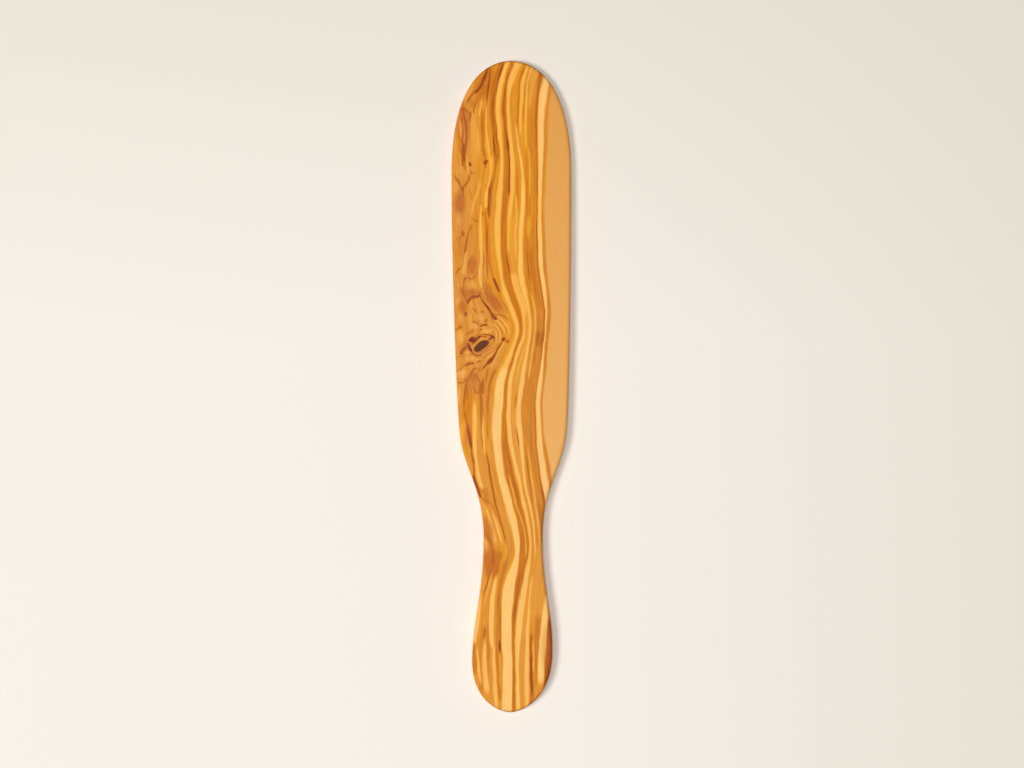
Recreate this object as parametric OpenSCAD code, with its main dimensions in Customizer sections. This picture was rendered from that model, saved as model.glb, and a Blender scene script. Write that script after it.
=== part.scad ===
// Wooden spreading spatula, cut and shaped from one flat board of olive wood.
// It lies on its flat underside. X is its width, Y runs from the handle to the
// blade's tip and Z is its thickness. All sizes are in millimetres.

/* [Handle] */
// Distance from the handle's end to the narrowest place of the neck
handle_l = 80; // [70:1:95]
// Width of the handle at its widest
handle_w = 36.8; // [30:0.2:44]
// Distance from the handle's end to its widest place
heel_l = 26; // [20:0.5:34]
// Sideways shift of the handle's end, which is rounded by eye
heel_shift = -0.5; // [-2:0.1:2]
// Sideways shift of the handle's widest place from the blade's middle line
grip_shift = 0.4; // [-2:0.1:3]

/* [Neck] */
// Width of the neck at its narrowest
neck_w = 27; // [20:0.2:32]
// Distance from the narrowest place of the neck to the blade's shoulder
throat_l = 49; // [40:1:70]
// Sideways shift of the neck and the shoulder from the blade's middle line
neck_shift = 0.8; // [-3:0.1:3]

/* [Blade] */
// Distance from the shoulder to the blade's tip
blade_l = 171; // [130:1:210]
// Width of the blade at the shoulder
shoulder_w = 49.2; // [44:0.2:52]
// Width that each side of the blade still gains at the shoulder, for each mm along it
shoulder_flare = 0.095; // [0.05:0.005:0.15]
// Width of the blade at its widest
blade_w = 55; // [53:0.2:66]
// Distance from the tip back to the blade's widest place
tip_l = 52; // [42:1:70]
// Sideways shift of the tip, which is rounded by eye
tip_shift = -0.2; // [-2:0.1:2]

/* [Thickness] */
// Thickness of the board at the rim of the handle, the neck and the shoulder
handle_t = 6.5; // [5.5:0.1:9]
// Thickness of the board at the rim of the tip
tip_t = 5; // [4:0.1:7]
// Height of the upper face's crown across the whole width of the blade
crown_h = 0.4; // [0:0.1:1]

/* [Edges] */
// Radius of the round that runs along the upper and the lower edge
edge_r = 1.6; // [0.8:0.1:1.9]
// Depth that is sanded off below the lower round, to leave a flat underside
sole_cut = 0.1; // [0.05:0.01:0.2]

/* [Curves] */
// Fullness of the handle's end across, as a share of half the handle's width
heel_round = 0.24; // [0.1:0.01:0.6]
// Fullness of the handle's end along, as a share of its length
heel_fullness = 0.82; // [0.5:0.01:0.95]
// Pull of the handle's widest place on its side, as a share of the way to the neck
grip_pull = 0.34; // [0.2:0.01:0.5]
// Pull of the neck on the handle's side, as a share of the same way
waist_pull = 0.44; // [0.2:0.01:0.5]
// Pull of the neck on the throat, as a share of the way to the shoulder
throat_pull = 0.48; // [0.3:0.01:0.6]
// Pull of the shoulder on the throat, as a share of the same way
shoulder_pull = 0.35; // [0.2:0.01:0.4]
// Pull of the shoulder on the blade's side, as a share of the way to the widest place
flank_pull = 0.11; // [0.05:0.01:0.3]
// Pull of the widest place on the blade's side, as a share of the same way
belly_pull = 0.37; // [0.2:0.01:0.6]
// Fullness of the tip along, as a share of its length
tip_fullness = 0.91; // [0.6:0.01:0.95]
// Fullness of the tip across, as a share of half the blade's width
tip_round = 0.27; // [0.15:0.01:0.6]

/* [Fineness] */
// Steps along the outline's side from the handle's end to its widest place
heel_steps = 18; // [10:1:24]
// Steps along each of the two gentle bends of the neck
neck_steps = 14; // [8:1:20]
// Steps along the side of the blade
side_steps = 8; // [4:1:12]
// Steps along the outline's side from the widest place to the tip
tip_steps = 24; // [12:1:30]
// Steps round each of the two edge rounds
edge_steps = 5; // [3:1:8]
// Steps across the crowned upper face
crown_steps = 8; // [2:2:12]

/* [Hidden] */

olive_wood = [0.86, 0.60, 0.30];

// Places along the length, measured from the middle of the spatula
overall_l = handle_l + throat_l + blade_l;
heel_y = -overall_l / 2;
grip_y = heel_y + heel_l;
neck_y = heel_y + handle_l;
shoulder_y = neck_y + throat_l;
tip_y = overall_l / 2;
belly_y = tip_y - tip_l;

// Half widths at those places
grip_h = handle_w / 2;
neck_h = neck_w / 2;
shoulder_h = shoulder_w / 2;
belly_h = blade_w / 2;

// Lengths of the stretches from the handle's widest place to the neck, and from the
// shoulder to the blade's widest place
waist_l = neck_y - grip_y;
flank_l = belly_y - shoulder_y;

// Lean of the middle line where it passes the handle's widest place
grip_lean = (grip_shift - heel_shift) / (heel_fullness * heel_l);

// A corner of a curve: where it lies along the length, how far the side is from
// the middle line there, and how far the middle line is shifted sideways.
function corner(y, half, shift) = [y, half, shift];

// The outline's side as cubic curves of four corners each, from the handle's end
// to the tip. The second and third corner of each set its fullness or pull.
heel_curve = [
    corner(heel_y, 0, heel_shift),
    corner(heel_y, heel_round * grip_h, heel_shift),
    corner(grip_y - heel_fullness * heel_l, grip_h, heel_shift),
    corner(grip_y, grip_h, grip_shift)
];
grip_curve = [
    corner(grip_y, grip_h, grip_shift),
    corner(grip_y + grip_pull * waist_l, grip_h, grip_shift + grip_lean * grip_pull * waist_l),
    corner(neck_y - waist_pull * waist_l, neck_h, neck_shift),
    corner(neck_y, neck_h, neck_shift)
];
throat_curve = [
    corner(neck_y, neck_h, neck_shift),
    corner(neck_y + throat_pull * throat_l, neck_h, neck_shift),
    corner(shoulder_y - shoulder_pull * throat_l,
        shoulder_h - shoulder_flare * shoulder_pull * throat_l, neck_shift),
    corner(shoulder_y, shoulder_h, neck_shift)
];
flank_curve = [
    corner(shoulder_y, shoulder_h, neck_shift),
    corner(shoulder_y + flank_pull * flank_l,
        shoulder_h + shoulder_flare * flank_pull * flank_l, neck_shift),
    corner(belly_y - belly_pull * flank_l, belly_h, 0),
    corner(belly_y, belly_h, 0)
];
tip_curve = [
    corner(belly_y, belly_h, 0),
    corner(belly_y + tip_fullness * tip_l, belly_h, 0),
    corner(tip_y, tip_round * belly_h, tip_shift),
    corner(tip_y, 0, tip_shift)
];

// A point of a cubic curve and the direction in which the curve runs there
function on_curve(c, t) =
    pow(1 - t, 3) * c[0]
    + 3 * pow(1 - t, 2) * t * c[1]
    + 3 * (1 - t) * pow(t, 2) * c[2]
    + pow(t, 3) * c[3];
function run_of_curve(c, t) =
    pow(1 - t, 2) * (c[1] - c[0])
    + 2 * (1 - t) * t * (c[2] - c[1])
    + pow(t, 2) * (c[3] - c[2]);

// The stations, each a place on the side and the side's direction there. Each curve
// leaves its last station to the next one, and the tip's own station comes last.
function stations_on(c, steps) =
    [for (i = [0:steps - 1]) [on_curve(c, i / steps), run_of_curve(c, i / steps)]];
stations = concat(
    stations_on(heel_curve, heel_steps),
    stations_on(grip_curve, neck_steps),
    stations_on(throat_curve, neck_steps),
    stations_on(flank_curve, side_steps),
    stations_on(tip_curve, tip_steps),
    [[on_curve(tip_curve, 1), run_of_curve(tip_curve, 1)]]
);
last = len(stations) - 1;
around = 2 * last;

// A place on the outline and its outward direction. The side is 1 on the right of
// the middle line and -1 on the left.
function outline_at(station, side) = let (p = station[0]) [p[2] + side * p[1], p[0]];
function outward_at(station, side) =
    let (
        d = station[1],
        run = [d[2] + side * d[1], d[0]],
        length = norm(run)
    ) [side * run[1], -side * run[0]] / length;

// The rim's thickness: even from the handle's end to the shoulder, then falling
// gently to the tip.
function eased(s) = s * s * (3 - 2 * s);
function rim_t(y) =
    let (s = min(1, max(0, (y - shoulder_y) / (tip_y - shoulder_y))))
    handle_t + (tip_t - handle_t) * eased(s);

// The rim's section as rings, from the underside up to the upper face. Each ring has
// its inset from the outline, its height from the lower or the upper end of the side,
// and a 1 where it belongs to the upper round.
lower_rings = [for (i = [0:edge_steps])
    let (a = 90 * (1 - i / edge_steps)) [edge_r * (1 - cos(a)), edge_r * (1 - sin(a)), 0]];
upper_rings = [for (i = [0:edge_steps])
    let (a = 90 * i / edge_steps) [edge_r * (1 - cos(a)), -edge_r * (1 - sin(a)), 1]];
rings = concat(lower_rings, upper_rings);
top_ring = len(rings) - 1;

function ring_point(ring, station, side) =
    let (
        flat = outline_at(station, side) - ring[0] * outward_at(station, side),
        base = ring[2] == 1 ? rim_t(flat[1]) : -sole_cut
    ) [flat[0], flat[1], base + ring[1]];

// The rim goes up the right side and down the left one. The two ends of the
// spatula belong to both sides and are counted once.
function ring_points(ring) = concat(
    [for (i = [0:last]) ring_point(ring, stations[i], 1)],
    [for (i = [last - 1:-1:1]) ring_point(ring, stations[i], -1)]
);

// The crown lifts the upper face by a parabola of one curvature, which meets the
// upper round at both sides.
function crowned(left, right, s) =
    let (
        p = left + (right - left) * s,
        half = (right[0] - left[0]) / 2,
        rise = crown_h * pow(half / belly_h, 2) * 4 * s * (1 - s)
    ) [p[0], p[1], p[2] + rise];
crown_points = [for (i = [1:last - 1])
    let (
        left = ring_point(rings[top_ring], stations[i], -1),
        right = ring_point(rings[top_ring], stations[i], 1)
    )
    for (j = [1:crown_steps - 1]) crowned(left, right, j / crown_steps)];

// Numbers of the points: on a ring, and in a row across the upper face from its left
// end to its right end.
function on_ring(ring, i) = ring * around + i % around;
function left_of(ring, i) = on_ring(ring, around - i);
function right_of(ring, i) = on_ring(ring, i);
function in_row(i, j) =
    j == 0 ? left_of(top_ring, i)
    : j == crown_steps ? right_of(top_ring, i)
    : (top_ring + 1) * around + (i - 1) * (crown_steps - 1) + j - 1;

rim_faces = [for (r = [0:top_ring - 1], i = [0:around - 1])
    [on_ring(r, i), on_ring(r + 1, i), on_ring(r + 1, i + 1), on_ring(r, i + 1)]];
crown_faces = [for (i = [1:last - 2], j = [0:crown_steps - 1])
    [in_row(i, j), in_row(i + 1, j), in_row(i + 1, j + 1), in_row(i, j + 1)]];
heel_faces = [for (j = [0:crown_steps - 1])
    [right_of(top_ring, 0), in_row(1, j), in_row(1, j + 1)]];
tip_faces = [for (j = [0:crown_steps - 1])
    [in_row(last - 1, j), right_of(top_ring, last), in_row(last - 1, j + 1)]];
under_faces = concat(
    [[right_of(0, 0), right_of(0, 1), left_of(0, 1)]],
    [for (i = [1:last - 2]) [left_of(0, i), right_of(0, i), right_of(0, i + 1), left_of(0, i + 1)]],
    [[left_of(0, last - 1), right_of(0, last - 1), right_of(0, last)]]
);

// The board with its rounded edges and crown, a little deeper than its flat underside
module shaped_board() {
    polyhedron(
        points = concat([for (r = rings) each ring_points(r)], crown_points),
        faces = concat(rim_faces, crown_faces, heel_faces, tip_faces, under_faces)
    );
}

// What the sanding belt takes off below the underside
module sanded_off() {
    translate([-blade_w, -overall_l, -handle_t])
        cube([2 * blade_w, 2 * overall_l, handle_t]);
}

// The whole spatula: blade, neck and handle are one piece of wood
module spatula() {
    color(olive_wood)
        difference() {
            shaped_board();
            sanded_off();
        }
}

spatula();
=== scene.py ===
import bpy
import numpy as np
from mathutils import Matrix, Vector


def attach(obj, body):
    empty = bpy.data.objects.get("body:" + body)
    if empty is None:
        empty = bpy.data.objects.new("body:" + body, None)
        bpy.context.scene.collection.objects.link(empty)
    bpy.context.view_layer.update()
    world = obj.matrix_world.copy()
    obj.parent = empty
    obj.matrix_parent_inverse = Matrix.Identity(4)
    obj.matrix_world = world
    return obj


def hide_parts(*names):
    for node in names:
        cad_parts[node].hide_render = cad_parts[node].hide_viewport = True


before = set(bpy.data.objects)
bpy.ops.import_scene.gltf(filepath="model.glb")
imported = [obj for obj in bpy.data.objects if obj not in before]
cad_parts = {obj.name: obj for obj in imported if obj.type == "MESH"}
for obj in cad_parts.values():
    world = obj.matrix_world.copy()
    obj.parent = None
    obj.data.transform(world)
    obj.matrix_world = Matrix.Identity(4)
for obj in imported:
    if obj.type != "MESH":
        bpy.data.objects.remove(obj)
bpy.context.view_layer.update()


# The spatula: the whole tool is one flat board of olive wood, so it is one piece.
# It is sawn to its outline, sanded round along both edges, crowned a little on top and
# left flat below, then rubbed with oil. Its sizes are in millimetres.

handle_l = 80.0
handle_w = 36.8
heel_l = 26.0
heel_shift = -0.5
grip_shift = 0.4
neck_w = 27.0
throat_l = 49.0
neck_shift = 0.8
blade_l = 171.0
shoulder_w = 49.2
shoulder_flare = 0.095
blade_w = 55.0
tip_l = 52.0
tip_shift = -0.2
handle_t = 6.5
tip_t = 5.0
crown_h = 0.4
edge_r = 1.6
sole_cut = 0.1

heel_y = -(handle_l + throat_l + blade_l) / 2
grip_y = heel_y + heel_l
neck_y = heel_y + handle_l
shoulder_y = neck_y + throat_l
tip_y = -heel_y
belly_y = tip_y - tip_l
waist_l = neck_y - grip_y
flank_l = belly_y - shoulder_y
grip_lean = (grip_shift - heel_shift) / (0.82 * heel_l)

# The outline's side in five cubic curves, from the handle's end to the tip. Each corner
# is a place along the length, half the width there and the middle line's shift sideways.
side_curves = [
    [(heel_y, 0, heel_shift),
     (heel_y, 0.24 * handle_w / 2, heel_shift),
     (grip_y - 0.82 * heel_l, handle_w / 2, heel_shift),
     (grip_y, handle_w / 2, grip_shift)],
    [(grip_y, handle_w / 2, grip_shift),
     (grip_y + 0.34 * waist_l, handle_w / 2, grip_shift + grip_lean * 0.34 * waist_l),
     (neck_y - 0.44 * waist_l, neck_w / 2, neck_shift),
     (neck_y, neck_w / 2, neck_shift)],
    [(neck_y, neck_w / 2, neck_shift),
     (neck_y + 0.48 * throat_l, neck_w / 2, neck_shift),
     (shoulder_y - 0.35 * throat_l, (shoulder_w - 2 * shoulder_flare * 0.35 * throat_l) / 2, neck_shift),
     (shoulder_y, shoulder_w / 2, neck_shift)],
    [(shoulder_y, shoulder_w / 2, neck_shift),
     (shoulder_y + 0.11 * flank_l, (shoulder_w + 2 * shoulder_flare * 0.11 * flank_l) / 2, neck_shift),
     (belly_y - 0.37 * flank_l, blade_w / 2, 0),
     (belly_y, blade_w / 2, 0)],
    [(belly_y, blade_w / 2, 0),
     (belly_y + 0.91 * tip_l, blade_w / 2, 0),
     (tip_y, 0.27 * blade_w / 2, tip_shift),
     (tip_y, 0, tip_shift)],
]


def ease(t):
    """A soft step from 0 to 1."""
    t = np.clip(t, 0, 1)
    return t * t * (3 - 2 * t)


def on_side(corners, t):
    """Places on one curve of the side and the side's direction at each."""
    c = np.array(corners, float)
    t = t[:, None]
    s = 1 - t
    places = s**3 * c[0] + 3 * s * s * t * c[1] + 3 * s * t * t * c[2] + t**3 * c[3]
    runs = s * s * (c[1] - c[0]) + 2 * s * t * (c[2] - c[1]) + t * t * (c[3] - c[2])
    return places, runs


def rows_on_side():
    """Where the mesh's rows meet the side. They lie closer together beside the finely figured knot."""
    places, runs = [], []
    for corners in side_curves:
        t = np.linspace(0, 1, 401)
        fine, _ = on_side(corners, t)
        step = np.hypot(np.diff(fine[:, 0]), np.diff(fine[:, 1]))
        middle = (fine[1:, 0] + fine[:-1, 0]) / 2
        rows_per_mm = 1.05 + 1.25 * ease((middle + 6) / 8) * ease((66 - middle) / 8)
        count = np.concatenate([[0], np.cumsum(step * rows_per_mm)])
        rows = int(round(count[-1]))
        picked = np.interp(np.arange(rows) * count[-1] / rows, count, t)
        if corners is side_curves[-1]:
            picked = np.append(picked, 1.0)
        at, run = on_side(corners, picked)
        places.append(at)
        runs.append(run)
    return np.concatenate(places), np.concatenate(runs)


def rim_thickness(y):
    """Thickness of the board at its rim: even up to the shoulder, then thinner towards the tip."""
    return handle_t + (tip_t - handle_t) * ease((y - shoulder_y) / (tip_y - shoulder_y))


def noise(x, y, seed):
    """Smooth seeded noise between -1 and 1 over a plane."""
    table = np.random.default_rng(seed).uniform(-1, 1, (128, 128))
    i = np.floor(x).astype(int)
    j = np.floor(y).astype(int)
    a, b = ease(x - i), ease(y - j)
    low = table[i % 128, j % 128] * (1 - a) + table[(i + 1) % 128, j % 128] * a
    high = table[i % 128, (j + 1) % 128] * (1 - a) + table[(i + 1) % 128, (j + 1) % 128] * a
    return low * (1 - b) + high * b


top_columns = 144
sole_columns = 24
places, runs = rows_on_side()
last = len(places) - 1

# The rim's section from the underside up: how far each ring lies inside the outline, its
# height from the end of the side, and whether it belongs to the upper round.
sole_angle = np.arcsin(1 - sole_cut / edge_r)
rings = []
for a in np.linspace(sole_angle, 0, 6):
    rings.append((edge_r * (1 - np.cos(a)), edge_r * (1 - np.sin(a)) - sole_cut, 0.0))
for rise in (0.25, 0.5, 0.75):
    rings.append((0.0, 0.0, rise))
for a in np.linspace(0, np.pi / 2, 7):
    rings.append((edge_r * (1 - np.cos(a)), -edge_r * (1 - np.sin(a)), 1.0))


def rim_line(ring, side):
    """One ring of the rim along one side, as points. The hand-sanded round varies a little in width."""
    inset, height, share = ring
    outline = np.stack([places[:, 2] + side * places[:, 1], places[:, 0]], 1)
    run = np.stack([runs[:, 2] + side * runs[:, 1], runs[:, 0]], 1)
    outward = np.stack([side * run[:, 1], -side * run[:, 0]], 1) / np.hypot(run[:, 0], run[:, 1])[:, None]
    sanding = 1 + 0.10 * noise(outline[:, 1] / 17, outline[:, 0] / 30 + side, 11)
    flat = outline - (inset * sanding)[:, None] * outward
    top = rim_thickness(flat[:, 1])
    lower, upper = edge_r - sole_cut, top - edge_r
    if share == 0.0:
        z = np.full(len(flat), height)
    elif share == 1.0:
        z = top + height
    else:
        z = lower + (upper - lower) * share
    return np.stack([flat[:, 0], flat[:, 1], z], 1)


right_rim = [rim_line(ring, 1) for ring in rings]
left_rim = [rim_line(ring, -1) for ring in rings]

# Each row of points goes round the board: up the right rim, over the top, down the left
# rim and back along the underside. The two ends close on one upright line of points.
loop = []
for ring in right_rim:
    loop.append(ring)
for j in range(1, top_columns):
    t = j / top_columns
    s = t + 0.2 * t * (1 - t)
    p = right_rim[-1] + (left_rim[-1] - right_rim[-1]) * s
    half = (right_rim[-1][:, 0] - left_rim[-1][:, 0]) / 2
    p[:, 2] += crown_h * (half / (blade_w / 2)) ** 2 * 4 * s * (1 - s)
    loop.append(p)
for ring in reversed(left_rim):
    loop.append(ring)
for j in range(1, sole_columns):
    loop.append(left_rim[0] + (right_rim[0] - left_rim[0]) * (j / sole_columns))
loop = np.array(loop)
around = len(loop)
rim_rows = len(rings)

numbers = np.zeros((last + 1, around), int)
for i in range(1, last):
    numbers[i] = rim_rows + (i - 1) * around + np.arange(around)
closing = rim_rows + (last - 1) * around
ring_of = list(range(rim_rows)) + [rim_rows - 1] * (top_columns - 1)
ring_of += list(range(rim_rows - 1, -1, -1)) + [0] * (sole_columns - 1)
numbers[0] = np.array(ring_of)
numbers[last] = closing + np.array(ring_of)
points = np.concatenate([
    np.array([ring[0] for ring in right_rim]),
    loop[:, 1:last].transpose(1, 0, 2).reshape(-1, 3),
    np.array([ring[last] for ring in right_rim]),
])

faces = []
for i in range(last):
    for k in range(around):
        m = (k + 1) % around
        corners = []
        for n in (numbers[i, k], numbers[i + 1, k], numbers[i + 1, m], numbers[i, m]):
            if n not in corners:
                corners.append(int(n))
        if len(corners) > 2:
            faces.append(corners)

# A hand-sanded face is never quite even, so the top sinks a little in soft, shallow hollows.
x, y, z = points.T
thickness = rim_thickness(y)
on_top = ease((z - thickness + 0.5) / 0.5)
hollows = 0.04 * (0.5 + 0.5 * noise(x / 9, y / 16, 12))
points[:, 2] -= on_top * hollows


# The figure is drawn from listed marks. The growth lines say how the layers of growth bend along the
# board: each has its number, then marks of the place along the length and across.
growth_lines = [
    (-25.9, [
        (150, -15.3), (132, -24), (118, -26.8), (86, -25.9), (54, -25.9), (26, -25.4), (3, -25),
        (-25, -23.6), (-43, -18), (-62, -13), (-80, -13.5), (-108, -16.7), (-126, -18), (-150, -14.4)
    ]),
    (-11.6, [
        (150, -5.7), (141, -8.9), (132, -10.7), (118, -10.3), (109, -9.3), (102, -8.9), (95, -10.3),
        (86, -11.6), (67, -11.6), (54, -11.6), (44, -9.3), (35, -4.3), (26, -1.5), (17, -5.7),
        (10, -10.7), (3, -13.9), (-6, -14.9), (-20, -14.4), (-38, -12.1), (-52, -9.3), (-66, -5.2),
        (-75, -3.4), (-84, -5.2), (-94, -7), (-107, -7), (-126, -6.6), (-150, -5.7)
    ]),
    (-6.1, [
        (150, -1.1), (141, -3.8), (132, -5.7), (118, -5.7), (102, -4.7), (86, -6.1), (67, -6.6),
        (54, -5.2), (44, -2.9), (35, 0.3), (26, 2.6), (17, 0.3), (3, -4.3), (-11, -6.1), (-25, -6.1),
        (-38, -4.3), (-52, -1.1), (-66, 2.2), (-75, 3.1), (-84, 1.7), (-94, -0.1), (-107, -1.5),
        (-126, -1.1), (-150, -1.1)
    ]),
    (-0.6, [
        (150, 2.6), (141, -1.1), (132, -2), (118, -1.5), (102, -0.1), (86, -0.6), (67, -1.1),
        (54, -0.1), (44, 2.2), (35, 4.9), (26, 5.8), (17, 4), (3, -0.1), (-11, -1.1), (-25, -0.6),
        (-38, 2.2), (-52, 5.4), (-66, 8.1), (-75, 8.6), (-84, 7.2), (-94, 5.4), (-107, 3.5),
        (-126, 2.6), (-150, 3.1)
    ]),
    (4.9, [
        (150, 6.8), (141, 3.1), (132, 2.2), (118, 2.2), (102, 4), (86, 4.9), (67, 4), (54, 4),
        (44, 5.4), (35, 7.7), (26, 8.1), (17, 6.8), (3, 4), (-11, 2.2), (-25, 3.5), (-38, 5.4),
        (-52, 8.1), (-66, 11.4), (-75, 11.8), (-84, 10.9), (-94, 9.1), (-107, 7.2), (-126, 6.3),
        (-150, 7.2)
    ]),
    (10.4, [
        (150, 13.7), (141, 11.4), (132, 10.4), (118, 10), (102, 10.4), (86, 10.4), (67, 10),
        (54, 10.9), (44, 12.7), (35, 14.1), (26, 14.1), (17, 12.7), (3, 10.4), (-11, 9.1), (-25, 9.5),
        (-38, 11.4), (-52, 14.1), (-66, 16), (-75, 16.4), (-84, 15.5), (-94, 13.7), (-107, 12.3),
        (-126, 11.8), (-150, 12.3)
    ]),
    (16, [
        (150, 22.4), (141, 20.1), (132, 19.2), (118, 17.8), (102, 16.9), (86, 16), (67, 16),
        (54, 16.9), (44, 18.3), (35, 19.2), (26, 18.7), (17, 17.3), (3, 16), (-11, 15), (-25, 16.4),
        (-38, 18.3), (-52, 20.1), (-66, 21.5), (-75, 21.5), (-84, 20.6), (-94, 19.2), (-107, 17.8),
        (-126, 17.3), (-150, 17.8)
    ]),
    (27.9, [
        (150, 31.6), (141, 29.8), (132, 27.9), (118, 27.9), (86, 27.9), (54, 28.4), (35, 28.4),
        (17, 27.5), (-6, 27), (-25, 27), (-38, 27.9), (-52, 28.8), (-75, 29.8), (-94, 27.9),
        (-107, 26.5), (-126, 26.1), (-150, 26.1)
    ]),
]

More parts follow.
